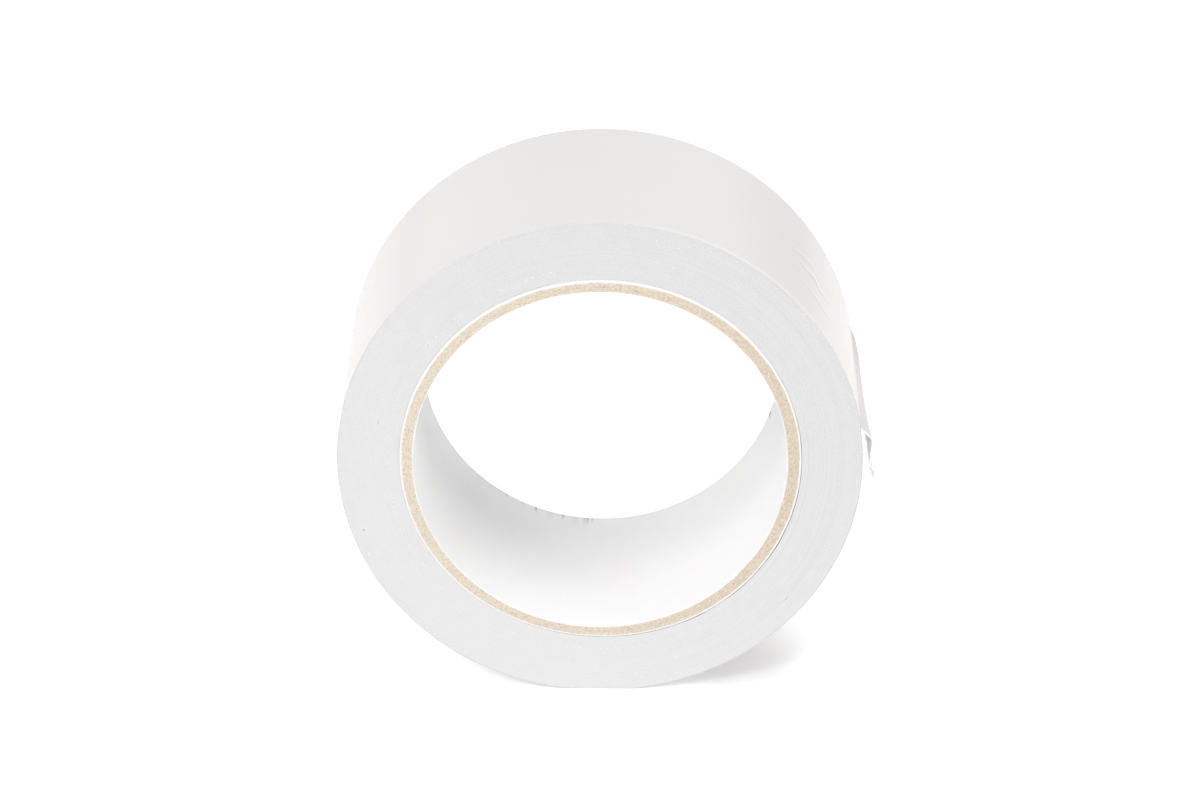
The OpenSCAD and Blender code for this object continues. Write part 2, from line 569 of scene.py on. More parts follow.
ringed = add_node(tree, "Mix", {0: line, 6: linear("#CDCCCC"), 7: linear("#DBDADA")}, data_type="RGBA")
finer = add_node(tree, "Mix", {0: fine, 6: linear("#CFCECE"), 7: linear("#D9D8D8")}, data_type="RGBA")
sideways = add_node(tree, "SeparateXYZ", {0: place}).outputs["X"]
clearer_right = add_node(tree, "Math", {0: sideways, 1: 1 / CLEAR_SPAN, 2: cut}, operation="MULTIPLY_ADD")
ring_clarity = add_node(
    tree, "MapRange", {"Value": clearer_right, "From Min": 0.25, "From Max": 0.75, "To Min": 0.2, "To Max": 0.7}
)
cut_rings = add_node(tree, "Mix", {0: ring_clarity, 6: finer, 7: ringed}, data_type="RGBA")
# Painted light: the face is lighter towards the lower left
painted_light = add_node(tree, "VectorMath", {0: place, 1: LIGHT_LEAN}, operation="DOT_PRODUCT")
smear_and_light = add_node(tree, "Math", {0: smear, 1: SMEAR_WEIGHT, 2: painted_light}, operation="MULTIPLY_ADD")
patches = add_node(
    tree, "MapRange", {"Value": smear_and_light, "From Min": -0.15, "From Max": 0.45, "To Min": 0.0, "To Max": 0.5}
)
smeared_and_lit = add_node(tree, "Mix", {0: patches, 6: cut_rings, 7: linear("#EEEEEE")}, data_type="RGBA")
grit = add_node(
    tree, "MapRange", {"Value": speckle, "From Min": 0.35, "From Max": 0.75, "To Min": 0.0, "To Max": 0.5}
)
specked = add_node(tree, "Mix", {0: grit, 6: smeared_and_lit, 7: linear("#E8E8E8")}, data_type="RGBA")
ridged = add_node(tree, "Bump", {"Height": rings, "Strength": 0.35, "Distance": 0.02 * MM})
surface = add_node(
    tree, "BsdfPrincipled", {"Base Color": specked, "Roughness": 0.6, "IOR": 1.53, "Normal": ridged}
)
add_node(tree, "OutputMaterial", {"Surface": surface})


def two_toned(name, patch_mm, detail, dark, light, roughness, ior):
    """A material in patches of two tones, of a size in millimetres."""
    material, tree = new_material(name)
    place = add_node(tree, "TexCoord", {}).outputs["Object"]
    patch = add_node(tree, "TexNoise", {"Vector": place, "Scale": 1 / (patch_mm * MM), "Detail": detail})
    toned = add_node(tree, "Mix", {0: patch, 6: linear(dark), 7: linear(light)}, data_type="RGBA")
    surface = add_node(tree, "BsdfPrincipled", {"Base Color": toned, "Roughness": roughness, "IOR": ior})
    add_node(tree, "OutputMaterial", {"Surface": surface})
    return material


# Rubber adhesive on the inside of the first turn, painted dark grey as painted shade, which darkens the slot.
SLOT_PATCH_MM = 0.5
slot_dark_shade = two_toned("rubber_adhesive_shaded_slot", SLOT_PATCH_MM, 2, "#6B6865", "#8F8C88", roughness=0.85, ior=1.52)
winding = tube(
    "tape_wound_turns",
    winding_inside,
    winding_outside,
    slit_face,
    steps=RING_STEPS,
    wall_rows=(WALL_ROWS, WALL_ROWS),
    face_rows=(118, 38),
    edge=0.08,
)
winding.data.materials.append(slit)
winding.data.materials.append(slot_dark_shade)
loop = len(winding.data.vertices) // RING_STEPS
# The slot's wall takes the painted shade
inner_wall = np.arange(len(winding.data.polygons)) % loop < WALL_ROWS - 1
winding.data.polygons.foreach_set("material_index", inner_wall.astype(np.int32))
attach(winding, "roll")
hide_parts("tape_winding")

# Burrs on the slit faces
# Flecks of film and adhesive that the knife pulled out, smeared along the turns and pressed on the cut face.
# They gather on one ring where the slitter paused, and along the rim.
LENS_RIM = 6
LENS_EDGE = 0.3
LENS_ROOT = 0.06

# Kinds of fleck: least and most length, least and most width and height in mm, and slant in radians
RING_FLECK = (0.2, 0.6, 0.12, 0.24, 0.05, 0.4)
FACE_FLECK = (0.15, 0.5, 0.08, 0.2, 0.04, 0.3)
RIM_FLECK = (0.15, 0.45, 0.08, 0.18, 0.03, 0.5)

# How many of each kind a face has
RING_FLECKS = 150
FACE_FLECKS = 120
RIM_FLECKS = 110

# The ring where the slitter paused: radius and spread in mm, places on it and their spread in degrees
PAUSE_R = 43.4
PAUSE_SPREAD = 0.13
PAUSE_PLACES = [178, 160, 118, -85]
PAUSE_REACH = 26

# Where the other flecks lie in mm: the innermost radius, and how far they keep from the rim and gather there
FACE_FROM = 41.6
FACE_ROOM = 0.5
RIM_ROOM = 0.3
RIM_SPREAD = 0.5

# Long shreds on the front face: place in degrees, radius and length in mm, then the width and height of all
SHREDS = [(-38.0, 49.55, 3.0), (-40.2, 49.7, 1.3), (-72.0, 51.6, 1.2), (-118.0, 48.8, 1.0)]
SHRED_WIDE = 0.2
SHRED_HIGH = 0.07


def lens_flecks(name, spots):
    """Lens-shaped chips on the slit faces. A spot is its angle in radians, radius, side, length, width
    and height in millimetres, and its slant off the turns in radians."""
    corners = []
    faces = []
    for angle, radius, side, long, wide, high, slant in spots:
        start = len(corners)
        along = np.array([-math.sin(angle + slant), 0, math.cos(angle + slant)])
        across = np.array([math.cos(angle + slant), 0, math.sin(angle + slant)])
        out = np.array([0, side, 0])
        middle = np.array([radius * math.cos(angle), side * HALF_WIDTH, radius * math.sin(angle)])
        for k in range(LENS_RIM):
            a = 2 * math.pi * k / LENS_RIM
            rim = middle + along * math.cos(a) * long / 2 + across * math.sin(a) * wide / 2
            corners.append(rim + out * high * LENS_EDGE)
        corners.append(middle + out * high)
        corners.append(middle - out * LENS_ROOT)
        for k in range(LENS_RIM):
            a = start + k
            b = start + (k + 1) % LENS_RIM
            faces.append((a, b, start + LENS_RIM))
            faces.append((b, a, start + LENS_RIM + 1))
    return smooth_piece(name, np.array(corners), faces)


draw = np.random.default_rng(81)


def fleck(angle, radius, side, kind):
    """A spot of a kind of fleck, with a length, width and slant of its own."""
    short, long, narrow, wide, high, slant = kind
    length = draw.uniform(short, long)
    width = draw.uniform(narrow, wide)
    return angle, radius, side, length, width, high, draw.normal(0, slant)


spots = []
for side in (-1, 1):
    for _ in range(RING_FLECKS):
        angle = math.radians(draw.choice(PAUSE_PLACES) + draw.normal(0, PAUSE_REACH))
        radius = PAUSE_R + draw.normal(0, PAUSE_SPREAD)
        spots.append(fleck(angle, radius, side, RING_FLECK))
    for _ in range(FACE_FLECKS):
        angle = draw.uniform(-math.pi, math.pi)
        radius = draw.uniform(FACE_FROM, float(film_outside(angle)) - FACE_ROOM)
        spots.append(fleck(angle, radius, side, FACE_FLECK))
    for _ in range(RIM_FLECKS):
        angle = draw.uniform(-math.pi, math.pi)
        radius = float(film_outside(angle)) - RIM_ROOM - abs(draw.normal(0, RIM_SPREAD))
        spots.append(fleck(angle, radius, side, RIM_FLECK))
for where, radius, long in SHREDS:
    spots.append((math.radians(where), radius, -1, long, SHRED_WIDE, SHRED_HIGH, 0.0))

# PVC film torn out by the knife: stretched white, so brighter than the face that it lies on.
SHRED_MM = 0.2
burr_white = two_toned(
    "pvc_film_stretch_whitened", SHRED_MM, 1, "#F4F4F3", "#FFFFFF", roughness=0.5, ior=1.53
)
burrs = lens_flecks("slit_face_burrs", spots)
burrs.data.materials.append(burr_white)
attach(burrs, "roll")

# Lint caught on the slit faces
# Dust and lint that the edges of the adhesive hold, as any opened roll picks up. A few short dark threads.

# Threads on the front and the back face: place in degrees, radius, length and width in mm
LINT_FRONT = [(168.8, 45.8, 1.1, 0.14), (-162.1, 50.9, 0.6, 0.3), (88.8, 39.4, 0.5, 0.35)]
LINT_BACK = [(75.0, 47.2, 0.9, 0.12), (-140.0, 44.6, 1.2, 0.14), (10.0, 51.0, 0.6, 0.2)]
lint_spots = []
for side, threads, high, slant in ((-1, LINT_FRONT, 0.06, 0.05), (1, LINT_BACK, 0.04, -0.1)):
    for where, radius, long, wide in threads:
        lint_spots.append((math.radians(where), radius, side, long, wide, high, slant))

# House dust and textile lint: grey and matt, patchy along its length.
LINT_MM = 0.4
lint_grey = two_toned("lint_on_adhesive", LINT_MM, 1, "#B2B0AE", "#CCCAC8", roughness=0.9, ior=1.5)
lint = lens_flecks("slit_face_lint", lint_spots)
lint.data.materials.append(lint_grey)
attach(lint, "roll")

# Last turn of the tape
# The outermost turn of the strip: white PVC film with adhesive on its inside, wound tight, one film thick.
# It leaves the roll at the peel line on the right. Its upper right side kept thin wrinkles along the strip.
SEAM_TURN = math.radians(3.0)

# How far the slit front edge stands proud and over what width, and the film's slow unevenness, in mm
EDGE_RISE = 0.035
EDGE_REACH = 0.14
SLACK = 0.012

# Where the roll stands, as the sine of the angle, the film lies flat, and its unevenness eases in beside it
FLAT_SINE = -0.97
FLAT_EASE = 0.05

# A wrinkle's half width and height in mm, and where its painted shade and painted highlight lie, in half
# widths from its line
WRINKLE_MM = 0.6
WRINKLE_RISE = 0.04
SHADOWED_FLANK = -0.3
HIGHLIT_FLANK = 1.7
FLANK_HIGHLIGHT = 0.6

# The painted highlight on the front edge, where it catches the light: middle and half width in degrees, reach
# in mm
GLINT_PLACE = 48
GLINT_WIDE = 28
GLINT_REACH = 0.35

# Wrinkles: the places that each one runs through, in degrees round the roll and mm from the middle,
# and how strong it is
WRINKLES = [
    ([(43.5, 2.4), (40.2, 2.9), (38.6, 3.4), (37.3, 3.5), (36.2, 4.2), (32.0, 4.6)], 0.45),
    ([(42.0, -1.8), (37.7, -1.4), (35.1, -1.3), (34.5, -2.0), (33.9, -3.0), (33.1, -3.4), (27.0, -3.6)], 0.8),
    ([(40.5, -10.0), (34.6, -10.6), (33.5, -11.0), (31.8, -11.1), (26.0, -11.5)], 0.6),
    ([(41.0, 14.1), (34.4, 14.7), (31.0, 15.0), (19.0, 15.3)], 0.2),
    ([(31.5, -0.4), (26.1, -1.4), (23.7, -2.6), (17.0, -3.2)], 0.4),
    ([(38.0, 2.0), (34.5, 2.6), (29.8, 3.6), (22.0, 4.1)], 0.3),
    ([(46.0, -6.3), (40.0, -6.5), (33.0, -6.9)], 0.15),
    ([(46.0, 8.3), (41.0, 8.7), (34.0, 9.0)], 0.15),
    ([(31.0, -6.6), (24.0, -7.2), (14.0, -7.4)], 0.2),
    ([(28.0, 8.2), (22.0, 8.8), (13.5, 9.0)], 0.18),
]


def film_edge(depth):
    """The slit front edge of the film stands a little proud of the roll."""
    return EDGE_RISE * np.exp(-(HALF_WIDTH + depth) / EDGE_REACH)


def film_waves(angle, depth):
    """The slow unevenness of the last turn over a true roll."""
    turn = angle / (2 * math.pi)
    return SLACK * (1 + closed_noise(91, 26, 5, turn, (depth + HALF_WIDTH) / WIDTH))


def wrinkles(angle, depth):
    """The wrinkles as ridges that run out at both ends: how far each point is raised by them,
    and how much painted shade and painted highlight it gets from them."""
    run = np.radians(angle_from(angle, 0)) * ROLL_R + 0 * depth
    raised = 0 * run
    painted_shade = 0 * run
    whitening_and_highlight = 0 * run
    for places, strength in WRINKLES:
        line = np.array([(math.radians(a) * ROLL_R, y) for a, y in places])
        steps = np.hypot(*np.diff(line, axis=0).T)
        starts = np.concatenate([[0], np.cumsum(steps)])
        nearest = np.full(run.shape, np.inf)
        along = np.zeros(run.shape)
        behind = np.zeros(run.shape)
        for (x0, y0), (x1, y1), long, start in zip(line[:-1], line[1:], steps, starts):
            t = np.clip(((run - x0) * (x1 - x0) + (depth - y0) * (y1 - y0)) / long ** 2, 0, 1)
            off = np.hypot(run - x0 - t * (x1 - x0), depth - y0 - t * (y1 - y0))
            along = np.where(off < nearest, start + t * long, along)
            behind = np.where(off < nearest, depth - y0 - t * (y1 - y0), behind)
            nearest = np.minimum(nearest, off)
        power = strength * np.sin(math.pi * along / starts[-1])
        side = nearest * np.sign(behind) / WRINKLE_MM
        raised = raised + WRINKLE_RISE * power * np.exp(-(side ** 2))
        painted_shade = painted_shade + power * np.exp(-((side - SHADOWED_FLANK) ** 2))
        whitening_and_highlight = whitening_and_highlight + power * np.exp(-((side - HIGHLIT_FLANK) ** 2))
    return raised, painted_shade, whitening_and_highlight


# The mesh is finer where the wrinkles are: spans round the roll in degrees past the peel line
# with their steps, and spans across the film in mm with their rows
TURN_SPANS = [(3.0, 12.0, 17), (12.0, 35.0, 107), (35.0, 359.95, 480)]
WIDTH_SPANS = [(-23.95, -23.55, 4), (-23.55, -13.0, 21), (-13.0, 16.0, 110), (16.0, 23.95, 18)]


def stepped(spans):
    """Evenly spaced values over each span in turn."""
    runs = [np.linspace(low, high, steps, endpoint=False) for low, high, steps in spans]
    return np.concatenate(runs + [[spans[-1][1]]])


wound = np.radians(stepped(TURN_SPANS))[:, None]
angle = PEEL_ANGLE + wound
across = np.concatenate([[-HALF_WIDTH], stepped(WIDTH_SPANS), [HALF_WIDTH]])
inside = np.array([HALF_WIDTH, 0.0, -HALF_WIDTH])
depth = np.concatenate([across, inside])[None, :]
outer = np.concatenate([np.ones(len(across)), np.zeros(len(inside))])[None, :]
off_floor = np.clip((np.sin(angle) - FLAT_SINE) / FLAT_EASE, 0, 1)
uneven = off_floor * np.clip(wound / SEAM_TURN - 1, 0, 1)
raised, painted_shade, whitening_and_highlight = wrinkles(angle, depth)
lift = ((film_waves(angle, depth) + film_edge(depth)) * uneven + raised) * outer
radius = film_outside(angle) - TAPE_T * (1 - outer) + lift
grid = np.stack([radius * np.cos(angle), depth + 0 * radius, radius * np.sin(angle)], -1)
cols = grid.shape[1]
film_steps = len(wound)
ends = [list(range(cols)), list(range((film_steps - 1) * cols, film_steps * cols))]
last_turn = skin("tape_last_turn", grid, False, True, ends)
set_values(last_turn, "along", (wound * ROLL_R * MM + 0 * depth).ravel())
set_values(last_turn, "across", (depth * MM + 0 * wound).ravel())
# The wrinkles' painted shade, stored as lifted
set_values(last_turn, "lifted", np.clip(painted_shade, 0, 1).ravel())
# Painted highlight on the front edge and on the wrinkles' lit flank
edge_glint = np.exp(-((angle_from(angle, GLINT_PLACE) / GLINT_WIDE) ** 2))
edge_glint = edge_glint * np.exp(-((depth + HALF_WIDTH) / GLINT_REACH)) * outer
set_values(last_turn, "whitening_and_highlight", np.clip(np.maximum(edge_glint, FLANK_HIGHLIGHT * whitening_and_highlight), 0, 1).ravel())

CALENDER_MM = (60.0, 0.9)
PEBBLE_MM = 0.8
SHEEN_SPREAD = 0.02
FREE_PATH_MM = 0.1


def on_strip(tree, along_mm, across_mm):
    """Texture vectors for a place on the strip, which the piece stores: in metres, and in cells of a size."""
    along = add_node(tree, "Attribute", {}, attribute_name="along").outputs["Fac"]
    across = add_node(tree, "Attribute", {}, attribute_name="across").outputs["Fac"]
    strip = add_node(tree, "CombineXYZ", {"X": along, "Y": across})
    cells = (1 / (along_mm * MM), 1 / (across_mm * MM), 0)
    return strip, add_node(tree, "VectorMath", {0: strip, 1: cells}, operation="MULTIPLY")


def calendered_film(name, dark, light, grain, roughness, gloss, through):
    """PVC film. gloss is the level of its reflections, through the share of light that passes into it."""
    material, tree = new_material(name)
    strip, stretched = on_strip(tree, *CALENDER_MM)
    lines = add_node(tree, "TexNoise", {"Vector": stretched, "Scale": 1.0, "Detail": 2})
    pebble = add_node(tree, "TexNoise", {"Vector": strip, "Scale": 1 / (PEBBLE_MM * MM), "Detail": 2})
    lined = add_node(tree, "Mix", {0: lines, 6: linear(dark), 7: linear(light)}, data_type="RGBA")
    pebbled = add_node(tree, "Mix", {0: pebble, 6: linear(grain), 7: lined}, data_type="RGBA")
    # Painted shade from the stored mask
    lifted = add_node(tree, "Attribute", {}, attribute_name="lifted").outputs["Fac"]
    shaded_grey = add_node(tree, "Mix", {0: lifted, 6: pebbled, 7: linear("#C8C5C5")}, data_type="RGBA")
    # Painted highlight over it, from the stored mask
    painted_highlight = add_node(
        tree,
        "Mix",
        {
            0: add_node(tree, "Attribute", {}, attribute_name="whitening_and_highlight").outputs["Fac"],
            6: shaded_grey,
            7: linear("#FFFFFF"),
        },
        data_type="RGBA",
    )
    sheen = add_node(
        tree,
        "MapRange",
        {
            "Value": pebble,
            "From Min": 0.3,
            "From Max": 0.7,
            "To Min": roughness - SHEEN_SPREAD,
            "To Max": roughness + SHEEN_SPREAD,
        },
    )
    dimples = add_node(tree, "Bump", {"Height": pebble, "Strength": 0.05, "Distance": 0.02 * MM})
    surface = add_node(
        tree,
        "BsdfPrincipled",
        {
            "Base Color": painted_highlight,
            "Roughness": sheen,
            "IOR": 1.53,
            "Specular IOR Level": gloss,
            "Subsurface Weight": through,
            "Subsurface Radius": (1.0, 1.0, 1.0),
            "Subsurface Scale": FREE_PATH_MM * MM,
            "Normal": dimples,
        },
    )
    add_node(tree, "OutputMaterial", {"Surface": surface})
    return material


# White PVC film, calendered, with the turns below it: smooth and satin, with faint lines along the strip
# from the calender's rolls and a fine pebbling that breaks up its gloss. The lines are drawn coarser than
# real ones. A wrinkle has painted shade on one flank and a painted highlight on the other, and the front
# edge on the upper right has a painted highlight.
film = calendered_film(
    "pvc_film_calendered", "#E0DDDC", "#E6E4E3", "#E1DEDE", roughness=0.2, gloss=0.5, through=0.0
)
last_turn.data.materials.append(film)
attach(last_turn, "roll")
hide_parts("outer_turn")

# Lifted flap of the free end
# The strip goes on past the peel line: it is pulled off the roll, high at its front edge and low at its back
# one, and bends at the peel line. Its slit front edge is curled and catches the light.
FLAP_LEN = 2.95
END_LEN = 9.85

# Lengths along the strip in mm: how far the bend lies past the joint, the rounding of a fold, the run-in of
# the curled edge, where this piece and the torn end meet, and a stretch just past the peel line
PAST_JOINT = 0.4
BEND_LEN = FLAP_LEN + PAST_JOINT
FOLD_MM = 0.45
FREE_MM = 1.0
MEET = 1.6
PEEL_BLEND = 1.0

# Rows and columns of the mesh, the columns that count as slit edge, and what the averages are taken over
FLAP_ROWS = 64
END_COLS = 241
EDGE_COLS = 1
FOLD_SAMPLES = 15
EASE_SHARES = (-0.06, -0.03, 0, 0.03, 0.06)

# The tear in mm: its long teeth, which are two waves with these degrees to a step, its fine teeth, and the
# strands that are pulled out where a noise is over a level. The noise mustn't close over the strip's width.
TEAR_DEPTH = 0.7
TEAR_STEPS = 64
TEAR_WAVES = (97, 211)
FINE_TEETH = 0.22
PULLED_LEN = 0.9
PULLED_FROM = 0.75
OPEN_TURN = 0.999

# The bead that the slit front edge curls to: half height and half width in mm, how much it swells,
# where past the crease and over what length, and the share of the roll's proud edge that goes on into it
BEAD_HIGH = 0.11
BEAD_WIDE = 0.16
BEAD_SWELL = 0.09
SWELL_PLACE = 3.0
SWELL_REACH = 1.6
EDGE_LEFT = 0.3

# Painted shade greys the unbacked film towards its back edge: how much, from what share of the width, and its
# run-in in mm
SHADE = 0.8
SHADE_FROM = 0.4
SHADE_IN = 0.3

# Heights of the crease and of the tear above the roll in mm, at shares of the width from the front edge
TAIL_HEIGHTS = [
    (0.0, 2.0, 2.6),
    (0.1, 1.69, 2.3),
    (0.18, 1.5, 2.08),
    (0.36, 1.25, 1.97),
    (0.52, 1.1, 1.95),
    (0.7, 1.06, 1.8),
    (0.84, 1.08, 1.65),
    (1.0, 0.76, 1.4),
]

# How far the front edge of the torn end strays outwards, at distances past the crease in mm
FRONT_STRAY = [
    (0.0, 0.0),
    (1.1, 0.1),
    (2.3, -0.1),
    (3.8, -0.33),
    (5.3, -0.5),
    (6.4, -0.33),
    (7.6, -0.1),
    (10.0, 0.0),
]
FRONT_SHARE = 0.07

# The same for the strand at its front corner, which the tear has drawn out and twisted
STRAND_STRAY = [
    (4.6, 0.0),
    (5.6, -0.3),
    (6.2, -0.36),
    (6.9, 0.15),
    (7.6, 0.4),
    (8.8, 0.32),
    (11.0, 0.3),
]
STRAND_SHARE = 0.03
STRAND_LEN = 0.6


def on_roll(radius, angle):
    """A point [x, z] at a radius and an angle."""
    return np.array([radius * math.cos(angle), radius * math.sin(angle)])


def fold_point(start, radius, distance):
    """The point at a radius that lies a distance from start, on its clockwise side."""
    reach = np.hypot(*start)
    turned = math.acos((reach * reach + radius * radius - distance * distance) / (2 * reach * radius))
    return on_roll(radius, math.atan2(start[1], start[0]) - turned)


peel = on_roll(TURN_R, PEEL_ANGLE)
crease_table = np.array([fold_point(peel, ROLL_R + up, BEND_LEN) for _, up, _ in TAIL_HEIGHTS])
tear_table = np.array([
    fold_point(crease, ROLL_R + up, END_LEN) for crease, (_, _, up) in zip(crease_table, TAIL_HEIGHTS)
])


def from_table(table, share):
    """A point [x, z] at a share of the width, eased, from a table of points at the shares of TAIL_HEIGHTS."""
    at = [a for a, _, _ in TAIL_HEIGHTS]
    eased = []
    for k in (0, 1):
        around = [np.interp(share + o, at, table[:, k]) for o in EASE_SHARES]
        eased.append(sum(around) / len(around))
    return np.stack(eased, -1)


def tear_stray(share):
    """How far the tear strays from its line: long teeth, with finer ones and a few stretched strands on them,
    and the strand at the front corner."""
    step = share * TEAR_STEPS
    low = np.floor(step)
    part = step - low
    teeth = [
        TEAR_DEPTH * sum(np.sin(np.radians(wave * i)) for wave in TEAR_WAVES) / 2 for i in (low, low + 1)
    ]
    fine = FINE_TEETH * closed_noise(101, 190, 1, share * OPEN_TURN, 0 * share)
    strand = closed_noise(102, 230, 1, share * OPEN_TURN, 0 * share)
    pulled = PULLED_LEN * np.maximum(strand - PULLED_FROM, 0) / (1 - PULLED_FROM)
    drawn = STRAND_LEN * np.exp(-((share / STRAND_SHARE) ** 2))
    return teeth[0] * (1 - part) + teeth[1] * part + fine + pulled + drawn


def film_path(run, share):
    """The film's adhesive side at a distance past the peel line,
    for a share of the width from the front edge."""
    crease = from_table(crease_table, share)
    tear = from_table(tear_table, share)
    turned = PEEL_ANGLE - np.minimum(run, 0) / TURN_R
    wound = np.stack([TURN_R * np.cos(turned), TURN_R * np.sin(turned)], -1)
    flap = peel + (crease - peel) * (run / BEND_LEN)[..., None]
    end = crease + (tear - crease) * ((run - BEND_LEN) / END_LEN)[..., None]
    stray = 0
    for table, wide in ((FRONT_STRAY, FRONT_SHARE), (STRAND_STRAY, STRAND_SHARE)):
        past_crease = [a for a, _ in table]
        out = np.interp(run - BEND_LEN, past_crease, [s for _, s in table])
        stray = stray + out * np.exp(-((share / wide) ** 2))
    end = end + np.stack([stray, 0 * stray], -1)
    past = run[..., None]
    return np.where(past < 0, wound, np.where(past < BEND_LEN, flap, end))


def bent_path(run, share):
    """The same with its folds rounded, by averaging over a short length of film."""
    offsets = np.linspace(-FOLD_MM / 2, FOLD_MM / 2, FOLD_SAMPLES)
    return sum(film_path(run + o, share) for o in offsets) / len(offsets)


def film_piece(name, run, share, curl, torn_rows):
    """A length of the free film as a closed skin. run and share give the rows and columns,
    curl lifts it off its path, and torn_rows is the number of rows at its end that the tear has whitened."""
    step = 0.02
    here = bent_path(run, share)
    ahead = bent_path(run + step, share) - bent_path(run - step, share)
    ahead = ahead / np.linalg.norm(ahead, axis=-1, keepdims=True)
    out = np.stack([-ahead[..., 1], ahead[..., 0]], -1)
    depth = (share - 0.5) * WIDTH
    free = np.clip(run / FREE_MM, 0, 1)
    rolled = BEAD_HIGH + BEAD_SWELL * np.exp(-(((run - BEND_LEN - SWELL_PLACE) / SWELL_REACH) ** 2))
    bead = rolled * np.exp(-(((depth + HALF_WIDTH) / BEAD_WIDE) ** 2)) * free
    inner = here + out * (curl - bead)[..., None]
    outer = here + out * (curl + TAPE_T + bead + film_edge(depth) * (1 - free) * EDGE_LEFT)[..., None]
    loop = np.concatenate([outer, inner[:, ::-1]], 1)
    y = np.concatenate([depth, depth[:, ::-1]], 1)
    rows, cols = share.shape
    last = (rows - 1) * 2 * cols
    caps = []
    for start in (0, last):
        for j in range(cols - 1):
            caps.append([start + j, start + j + 1, start + 2 * cols - 2 - j, start + 2 * cols - 1 - j])
    piece = skin(name, np.stack([loop[..., 0], y, loop[..., 1]], -1), False, True, caps)
    runs = np.concatenate([run, run[:, ::-1]], 1).ravel()
    set_values(piece, "along", runs * -MM)
    set_values(piece, "across", y.ravel() * MM)
    # Painted shade towards the back edge
    painted_shade = SHADE * np.clip((share - SHADE_FROM) / (1 - SHADE_FROM), 0, 1) * np.clip(run / SHADE_IN, 0, 1)
    set_values(piece, "lifted", np.concatenate([painted_shade, painted_shade[:, ::-1]], 1).ravel())
    for material in (film, free_film, adhesive, burr_white):
        piece.data.materials.append(material)
    on_turns, unbacked, coated, whitening_and_highlight = range(4)
    finish = []
    for polygon in piece.data.polygons:
        ring = [v % (2 * cols) for v in polygon.vertices]
        row = [v // (2 * cols) for v in polygon.vertices]
        past = min(runs[v] for v in polygon.vertices)
        on_edge = max(min(v, 2 * cols - 1 - v) for v in ring) <= EDGE_COLS or min(row) >= rows - 1 - torn_rows
        if past < 0:
            finish.append(on_turns)
        elif on_edge:
            finish.append(whitening_and_highlight)
        elif min(ring) >= cols:
            finish.append(coated)
        else:
            finish.append(unbacked)
    piece.data.polygons.foreach_set("material_index", np.array(finish, np.int32))
    return piece


# The same film with no turns behind it, pulled: part of the light goes through and the gloss is dulled
# by the pull, so it looks greyer than on the roll.
free_film = calendered_film(
    "pvc_film_unbacked", "#DEDBDB", "#E5E3E3", "#E0DDDD", roughness=0.5, gloss=0.2, through=0.1
)

# Rubber adhesive on the film: a thin tacky coat, yellower than the film and less glossy, with fine streaks
# from the coating. Light goes deep into it, so it looks grey where the flap shades it.
STREAK_MM = (8.0, 0.4)
COAT_PATH_MM = 1.1
adhesive, tree = new_material("rubber_adhesive_coated")
_, stretched = on_strip(tree, *STREAK_MM)
streaks = add_node(tree, "TexNoise", {"Vector": stretched, "Scale": 1.0, "Detail": 2})
coated = add_node(tree, "Mix", {0: streaks, 6: linear("#ECEAE6"), 7: linear("#F2F0ED")}, data_type="RGBA")
drag = add_node(tree, "Bump", {"Height": streaks, "Strength": 0.2, "Distance": 0.02 * MM})
surface = add_node(
    tree,
    "BsdfPrincipled",
    {
        "Base Color": coated,
        "Roughness": 0.75,
        "IOR": 1.52,
        "Specular IOR Level": 0.25,
        "Subsurface Weight": 0.9,
        "Subsurface Radius": (1.0, 1.0, 1.0),
        "Subsurface Scale": COAT_PATH_MM * MM,
        "Normal": drag,
    },
)
add_node(tree, "OutputMaterial", {"Surface": surface})

share = np.linspace(0, 1, END_COLS)[None, :]
start_run = -SEAM_TURN * TURN_R
flap_run = np.linspace(start_run, MEET, FLAP_ROWS)[:, None] + 0 * share
flap = film_piece("tape_free_flap", flap_run, share + 0 * flap_run, 0 * flap_run, 0)
middle = film_path(np.array([0.0, PEEL_BLEND]), np.array([0.5, 0.5])) * MM
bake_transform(flap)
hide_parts("tail_flap")

# Creased and torn end
# Past the crease the strip hangs down along the roll and ends where it was torn off by hand, without
# a cutter. PVC tears in uneven teeth that stretch, turn white and curl.
END_ROWS = 84
TORN_ROWS = 1
TORN_CURL = 0.3
TORN_REACH = 1.6
CREASE_BLEND = 0.8
end_at = BEND_LEN + END_LEN + tear_stray(share)
part = np.linspace(0, 1, END_ROWS)[:, None]
end_run = MEET + (end_at - MEET) * part
near_tear = np.clip(1 - (end_at - end_run) / TORN_REACH, 0, 1) ** 2
curl = TORN_CURL * near_tear * closed_noise(103, 60, 1, share * OPEN_TURN, 0 * share)
torn = film_piece("tape_torn_end", end_run, share + 0 * end_run, curl, TORN_ROWS)
middle = film_path(np.array([FLAP_LEN, FLAP_LEN + CREASE_BLEND]), np.array([0.5, 0.5])) * MM
crease_span = crease_table[-1] - crease_table[0]
crease_line = np.array([crease_span[0], WIDTH, crease_span[1]])
crease_line = crease_line / np.linalg.norm(crease_line)
travel = np.array([middle[1][0] - middle[0][0], 0, middle[1][1] - middle[0][1]])
travel = travel - crease_line * (travel @ crease_line)
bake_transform(torn)
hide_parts("tail_end")

# Studio floor
# A wide white table that the roll stands on. It is lifted to white for the camera, less so beside the
# roll's foot, where the shadow stays. The gloss of the film shows it lifted less, and dimmer in a patch
# far behind on the right.
FLOOR_SIZE = 4.0
FLOOR_LIFT = 0.374
MIRRORED_LIFT = 0.17

